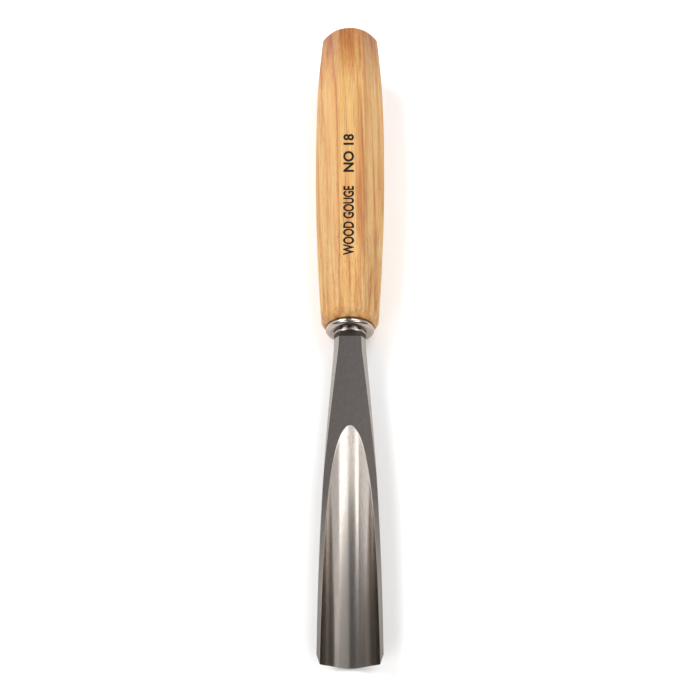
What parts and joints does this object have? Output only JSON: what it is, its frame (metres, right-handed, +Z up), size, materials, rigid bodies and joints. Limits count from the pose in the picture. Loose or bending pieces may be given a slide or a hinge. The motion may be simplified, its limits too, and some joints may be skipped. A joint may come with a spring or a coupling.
{
  "type": "carving gouge",
  "caption": "Wood carving gouge: a deep U-shaped steel blade that flares from a turned bolster, in an octagonal barrel-shaped ash handle with a domed butt.",
  "frame": {"origin": "centre of the bounding box's footprint, on the bench that the tool lies on", "axes": "+Z up, out of the open channel; +Y along the tool from the cutting edge to the butt; +X across the blade"},
  "size_m": [0.0254, 0.2454, 0.0271],
  "materials": {
    "ash_wood": "clear satin varnish over light ash with orange-brown grain lines",
    "tool_steel": "dark satin forged shank, ground and polished channel, bevel and bolster",
    "mild_steel": "plain cut tube, out of sight"
  },
  "bodies": {
    "root": {"blade": "tool_steel", "handle": "ash_wood", "ferrule": "mild_steel"}
  },
  "joints": []
}
